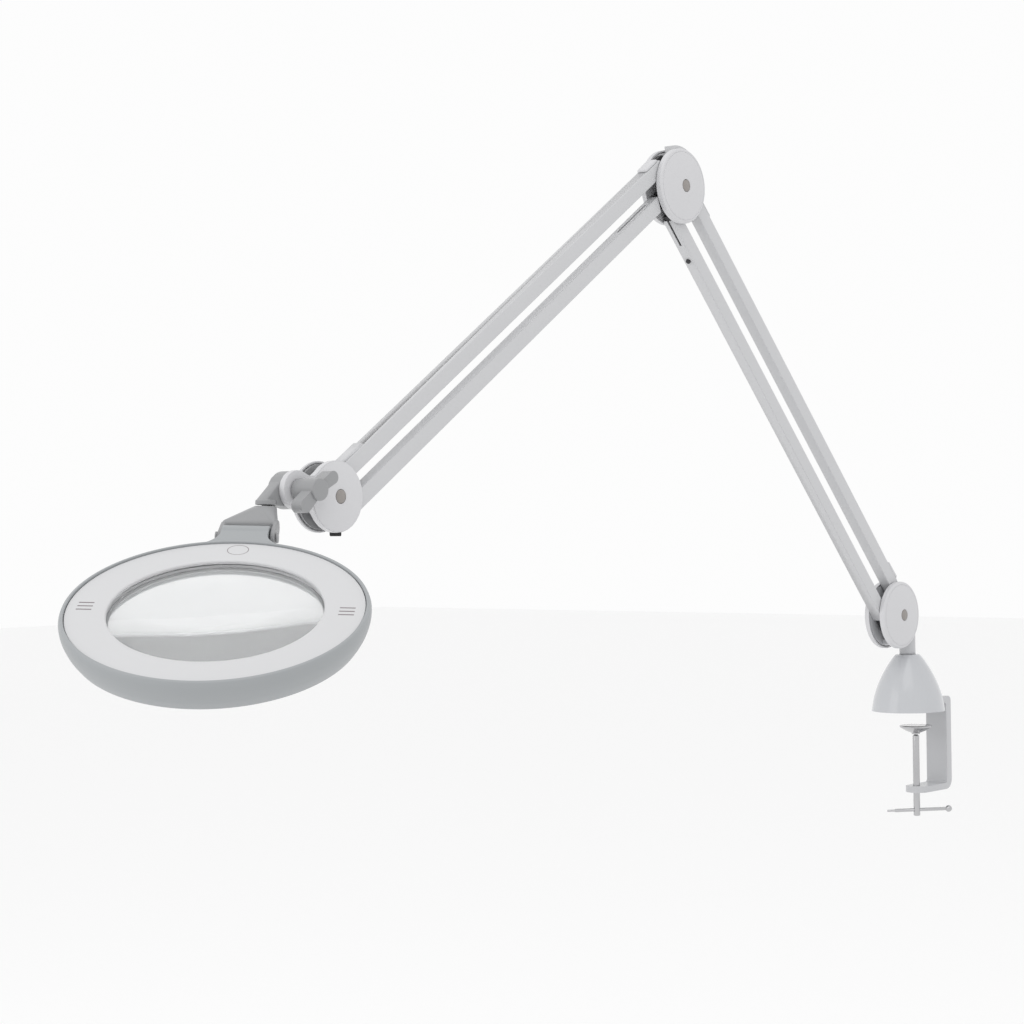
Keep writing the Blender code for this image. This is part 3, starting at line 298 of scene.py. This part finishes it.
# ---------------------------------------------------------------- lens head
def head_marks():
    """Thin touch ring and two groups of three lines, just proud of the top plate."""
    top, steps, centre_x, centre_y = 0.00003, 64, 0.106, -0.001
    ring = bmesh.new()
    rows = [[ring.verts.new((centre_x + radius * math.cos(math.tau * i / steps),
                             centre_y + radius * math.sin(math.tau * i / steps), top))
             for i in range(steps)] for radius in (0.0084, 0.0090)]
    for i in range(steps):
        j = (i + 1) % steps
        ring.faces.new((rows[0][i], rows[0][j], rows[1][j], rows[1][i]))
    add("touch_ring", ring, HEAD, "head", "mark_grey")
    half_width, half_length, pitch = 0.0008, 0.0062, 0.0058
    for side in (-1, 1):
        lines = bmesh.new()
        for k in (-1, 0, 1):
            x, y = 0.0006 + pitch * k, side * 0.104
            corners = [(x - half_width, y - half_length), (x + half_width, y - half_length),
                       (x + half_width, y + half_length), (x - half_width, y + half_length)]
            lines.faces.new([lines.verts.new((a, b, top)) for a, b in corners])
        add("line_mark_" + ("right" if side < 0 else "left"), lines, HEAD, "head", "mark_grey")


def head_shell():
    """Casing ring with a rolled rim, and the top plate with a softly turned lens opening."""
    shell = ((0.1194, 0.0016, 0), (0.1215, 0.0012, 0.0008), (0.1230, -0.0025, 0.0030),
             (0.1226, -0.0090, 0.0040), (0.1195, -0.0180, 0.0050), (0.1140, -0.0262, 0.0010),
             (0.1118, -0.0262, 0.0005), (0.1172, -0.0180, 0.0040), (0.1204, -0.0080, 0.0010),
             (0.1204, -0.0056, 0.0005), (0.0920, -0.0056, 0.0005), (0.0920, -0.0240, 0.0005),
             (0.0900, -0.0240, 0.0005), (0.0900, -0.0032, 0.0005), (0.1188, -0.0032, 0),
             (0.1188, 0.0010, 0.0005))
    ring = turned("casing_ring", rounded(shell), HEAD, "head", "head_grey", 128, True)
    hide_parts("head_casing")
    plate = ((0.0856, -0.0028, 0), (0.0856, -0.0010, 0.0006), (0.0866, 0.0, 0.0006), (0.1180, 0.0, 0.0004),
             (0.1183, -0.0004, 0), (0.1183, -0.0028, 0))
    top = turned("lens_surround", rounded(plate), HEAD, "head", "plate_white", 128, True)
    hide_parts("top_plate")


def arc(centre, radius, start, end, count):
    """Points along a round stretch, angles in degrees."""
    return [(centre[0] + radius * math.cos(math.radians(start + (end - start) * i / count)),
             centre[1] + radius * math.sin(math.radians(start + (end - start) * i / count)))
            for i in range(count + 1)]


def prism(bm, outline, low, high):
    """Closed block with a flat outline between two local heights."""
    bottom = [bm.verts.new((x, y, low)) for x, y in outline]
    top = [bm.verts.new((x, y, high)) for x, y in outline]
    faces = [bm.faces.new(bottom[::-1]), bm.faces.new(top)]
    count = len(outline)
    for i in range(count):
        j = (i + 1) % count
        faces.append(bm.faces.new((bottom[i], bottom[j], top[j], top[i])))
    return faces


def soften(bm, width, segments=3, angle=40):
    """Rounds a bmesh's sharp edges."""
    edges = [e for e in bm.edges if len(e.link_faces) == 2 and e.calc_face_angle(0) > math.radians(angle)]
    bmesh.ops.bevel(bm, geom=edges, offset=width, segments=segments, profile=0.55, affect="EDGES",
                    clamp_overlap=True)


def neck():
    """Neck that flares out of the casing and ends in a rounded hinge knuckle between the yoke's cheeks."""
    half, depth, x, z = 0.0201, 0.0100, 0.1530, -0.0110
    flare = [(x, half), (0.1410, half), (0.1365, 0.0211), (0.1330, 0.0225), (0.1293, 0.0247),
             (0.1260, 0.0275),
             (0.1224, 0.0317), (0.1190, 0.0365), (0.1154, 0.0420), (0.1120, 0.0480), (0.1056, 0.0590)]
    inner = arc((0, 0), 0.1200, 29, -29, 16)
    outline = flare + inner + [(a, -b) for a, b in reversed(flare)]
    bm = bmesh.new()
    prism(bm, outline, z - depth + 0.0002, z + depth - 0.0012)
    soften(bm, 0.0022, 3, 50)
    add("neck_flare", bm, HEAD, "head", "head_grey")
    knuckle = HEAD @ Matrix.Translation((x, 0, z)) @ Matrix.Rotation(math.radians(90), 4, "X")
    points = rounded(((0.0, -half, 0), (depth, -half, 0.0008), (depth, half, 0.0008), (0.0, half, 0)))
    turned("neck_knuckle", points, knuckle, "head", "head_grey", 64, False)


# lens glass with painted light: made part milky white so that it looks bright
refined("lens", "glass", 0.0)
head_shell()
neck()
head_marks()


# ---------------------------------------------------------------- joint covers and bell
def cover(node, centre, front):
    """Domed cover with a fine groove inside its rolled edge and a seat for the cap."""
    points = [(0.0, 0.0174, 0)]
    if front:
        points = [(0.0034, 0.0150, 0), (0.0066, 0.0150, 0), (0.0066, 0.0172, 0.0003)]
    points += [(0.0125, 0.0170, 0.003), (0.0190, 0.01635, 0.003), (0.0250, 0.01555, 0.003),
               (0.0310, 0.01465, 0.003), (0.0349, 0.01395, 0), (0.0352, 0.0135, 0), (0.0357, 0.0135, 0),
               (0.0360, 0.0138, 0), (0.0377, 0.0134, 0.0010), (0.0389, 0.0122, 0.0008),
               (0.0389, 0.0073, 0.0003),
               (0.0371, 0.0073, 0), (0.0371, 0.0112, 0.0010), (0.0240, 0.0126, 0.003)]
    points += [(0.0034, 0.0132, 0)] if front else [(0.0, 0.0132, 0)]
    matrix = SIDE @ Matrix.Translation((centre.x, centre.y, 0))
    if not front:
        matrix = matrix @ Matrix.Rotation(math.pi, 4, "X")
    piece = turned("look_" + node, rounded(points), matrix, BODY[node], "cover_white", 112, front,
                   30)
    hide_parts(node)


cover("lower_cover_front", KNUCKLE, True)
cover("lower_cover_rear", KNUCKLE, False)
cover("elbow_cover_front", ELBOW, True)
cover("elbow_cover_rear", ELBOW, False)


def bell():
    """Glossy bell with a soft shoulder and a rolled foot."""
    outer = [(0.0099, 0.0670, 0), (0.0140, 0.0670, 0.0016), (0.0185, 0.0615, 0.0040),
             (0.0255, 0.0510, 0.0060),
             (0.0335, 0.0360, 0.0080), (0.0398, 0.0185, 0.0080), (0.0428, 0.0004, 0.0005)]
    inner = [(0.0410, 0.0004, 0.0004), (0.0378, 0.0185, 0.008), (0.0315, 0.0360, 0.008),
             (0.0235, 0.0510, 0.006),
             (0.0165, 0.0612, 0.004), (0.0099, 0.0650, 0)]
    piece = turned("look_bell", rounded(outer + inner), Matrix.Identity(4), "clamp", "bell_white", 128,
                   True, 50)
    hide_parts("bell_cover")


bell()


# ---------------------------------------------------------------- castings and knob
def cast(obj, size, repeats):
    """Melts a piece's edges together like a sand or die casting."""
    remesh = obj.modifiers.new("skin", "REMESH")
    remesh.mode = "VOXEL"
    remesh.voxel_size = size
    remesh.use_smooth_shade = True
    smooth = obj.modifiers.new("melt", "SMOOTH")
    smooth.factor = 0.5
    smooth.iterations = repeats


def ball(centre, radius, rings=7, count=14):
    """Points on a small ball."""
    points = []
    for i in range(rings + 1):
        lift = -math.pi / 2 + math.pi * i / rings
        for j in range(count):
            turn = math.tau * j / count
            points.append(centre + radius * Vector((math.cos(lift) * math.cos(turn),
                                                    math.cos(lift) * math.sin(turn), math.sin(lift))))
    return points


def hull(bm, points):
    """Convex skin round the points, added to bm."""
    part = bmesh.new()
    for point in points:
        part.verts.new(point)
    bmesh.ops.convex_hull(part, input=part.verts)
    bmesh.ops.delete(part, geom=[v for v in part.verts if not v.link_faces], context="VERTS")
    mesh = bpy.data.meshes.new("skin")
    part.to_mesh(mesh)
    part.free()
    bm.from_mesh(mesh)
    bpy.data.meshes.remove(mesh)


def yoke_look():
    """Yoke as one casting: boss under the swivel, a tongue and two cheeks."""
    swivel = axes_matrix(Vector((-1.0445, 0.0, 0.2500)), LEVEL, Vector((0, 1, 0)), SWIVEL_AXIS)
    to_head = HEAD.inverted()
    boss = ball(to_head @ swivel @ Vector((0, 0, -0.0096)), 0.0062)
    radius, steps = 0.0094, 24
    disc = [to_head @ swivel @ Vector((radius * math.cos(math.tau * i / steps),
                                       radius * math.sin(math.tau * i / steps), -0.0006))
            for i in range(steps)]
    bm = bmesh.new()
    hull(bm, disc + boss + ball(Vector((0.1715, 0.0200, -0.0072)), 0.0036)
         + ball(Vector((0.1740, -0.0175, -0.0085)), 0.0060))
    hull(bm, disc + boss + ball(Vector((0.1705, -0.0215, -0.0130)), 0.0034)
         + ball(Vector((0.1712, -0.0205, -0.0060)), 0.0040))
    wall, steps = 0.0019, 20
    for y, radius in ((-0.0229, 0.0074), (0.0224, 0.0052)):
        points = []
        for x, z, size in ((0.1530, -0.0112, radius), (0.1712, -0.0110, radius * 0.95)):
            for i in range(steps):
                turn = math.tau * i / steps
                for side in (-wall, wall):
                    points.append(Vector((x + size * math.cos(turn), y + side, z + size * math.sin(turn))))
        hull(bm, points)
    piece = add("yoke_casting", bm, HEAD, "yoke", "joint_grey", 60)
    cast(piece, 0.00055, 5)
    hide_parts("yoke")


def stop_look():
    """Black rubber stop that shows under the head joint."""
    bm = bmesh.new()
    x, z = HEAD_JOINT.x + 0.0090, HEAD_JOINT.y - 0.0310
    outline = [(x - 0.0027, z - 0.0030), (x - 0.0016, z - 0.0040), (x + 0.0041, z - 0.0040),
               (x + 0.0047, z - 0.0028), (x + 0.0047, z - 0.0005), (x - 0.0027, z - 0.0005)]
    prism(bm, outline, -0.0037, 0.0037)
    soften(bm, 0.0003, 2, 50)
    add("stop_pad", bm, SIDE, "head_joint", "rubber")


def tilt_look():
    """Hinge barrel flowing into the lug that sits on the yoke's boss."""
    bm = bmesh.new()
    bm.from_mesh(NODES["tilt_block"].data)
    bmesh.ops.remove_doubles(bm, verts=bm.verts, dist=1e-6)
    piece = add("tilt_casting", bm, Matrix.Identity(4), "tilt", "joint_grey", 60)
    cast(piece, 0.0005, 4)
    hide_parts("tilt_block")


def knob_look():
    """Hand knob: bevelled round hub with two soft wings."""
    hub = ((0.0, 0.0405, 0), (0.0098, 0.0405, 0.0011), (0.0098, 0.0142, 0.0004), (0.0042, 0.0142, 0))
    piece = turned("knob_hub", rounded(hub), TILT, "knob", "joint_grey", 72, False)
    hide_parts("tilt_knob")
    for side, angle, half in (("upper", 30, 0.0057), ("lower", 221, 0.0064)):
        along, across = direction(math.radians(angle)), direction(math.radians(angle + 90))
        outline = [tuple(along * 0.0055 - across * (half - 0.0010))]
        outline += arc(along * 0.0208, half, angle - 90, angle + 90, 14)
        outline += [tuple(along * 0.0055 + across * (half - 0.0010))]
        wing = bmesh.new()
        prism(wing, outline, 0.0265, 0.0385)
        soften(wing, 0.0016, 4, 60)
        add("knob_wing_" + side, wing, TILT, "knob", "joint_grey")


yoke_look()
stop_look()
tilt_look()
knob_look()

# ---------------------------------------------------------------- stage, light and camera
def stage():
    """Pale floor and an even white surround."""
    bm = bmesh.new()
    bmesh.ops.create_grid(bm, x_segments=1, y_segments=1, size=14.0)
    mesh = bpy.data.meshes.new("floor")
    bm.to_mesh(mesh)
    bm.free()
    floor = bpy.data.objects.new("floor", mesh)
    bpy.context.scene.collection.objects.link(floor)
    floor.location = (0, 0, -0.60)
    mat = bpy.data.materials.new("floor_white")
    mat.use_nodes = True
    mat.node_tree.nodes["Principled BSDF"].inputs["Base Color"].default_value = (0.95, 0.95, 0.95, 1)
    mat.node_tree.nodes["Principled BSDF"].inputs["Roughness"].default_value = 0.9
    mesh.materials.append(mat)

    world = bpy.data.worlds.new("studio")
    bpy.context.scene.world = world
    world.use_nodes = True
    world.node_tree.nodes["Background"].inputs["Color"].default_value = (1.0, 1.0, 1.0, 1)
    world.node_tree.nodes["Background"].inputs["Strength"].default_value = 0.98


def area_light(name, place, target, size, power):
    light = bpy.data.lights.new(name, "AREA")
    light.shape = "RECTANGLE"
    light.size, light.size_y = size
    light.energy = power
    obj = bpy.data.objects.new(name, light)
    bpy.context.scene.collection.objects.link(obj)
    obj.location = place
    obj.rotation_euler = (Vector(target) - Vector(place)).to_track_quat("-Z", "Y").to_euler()


def camera():
    """Long lens, level, looking at the lamp from its head's near side."""
    data = bpy.data.cameras.new("camera")
    data.sensor_width = 36.0
    data.lens = 36.0 * 2500 / 1024
    data.clip_start = 0.05
    obj = bpy.data.objects.new("camera", data)
    bpy.context.scene.collection.objects.link(obj)
    roll = math.radians(-0.86)
    forward = Vector((0.7633, 0.6460, 0.0001)).normalized()
    right = forward.cross(Vector((0, 0, 1))).normalized()
    up = right.cross(forward)
    across = right * math.cos(roll) + up * math.sin(roll)
    above = up * math.cos(roll) - right * math.sin(roll)
    obj.matrix_world = axes_matrix(Vector((-2.5475, -1.549, 0.241)), across, above, -forward)
    bpy.context.scene.camera = obj


stage()
camera()
area_light("key", (-1.6, -0.9, 2.4), (-0.6, 0, 0.3), (1.8, 1.8), 9)
area_light("side", (-2.6, 0.8, 0.9), (-0.8, 0, 0.2), (1.4, 1.4), 5)
bpy.context.scene.view_settings.view_transform = "Standard"
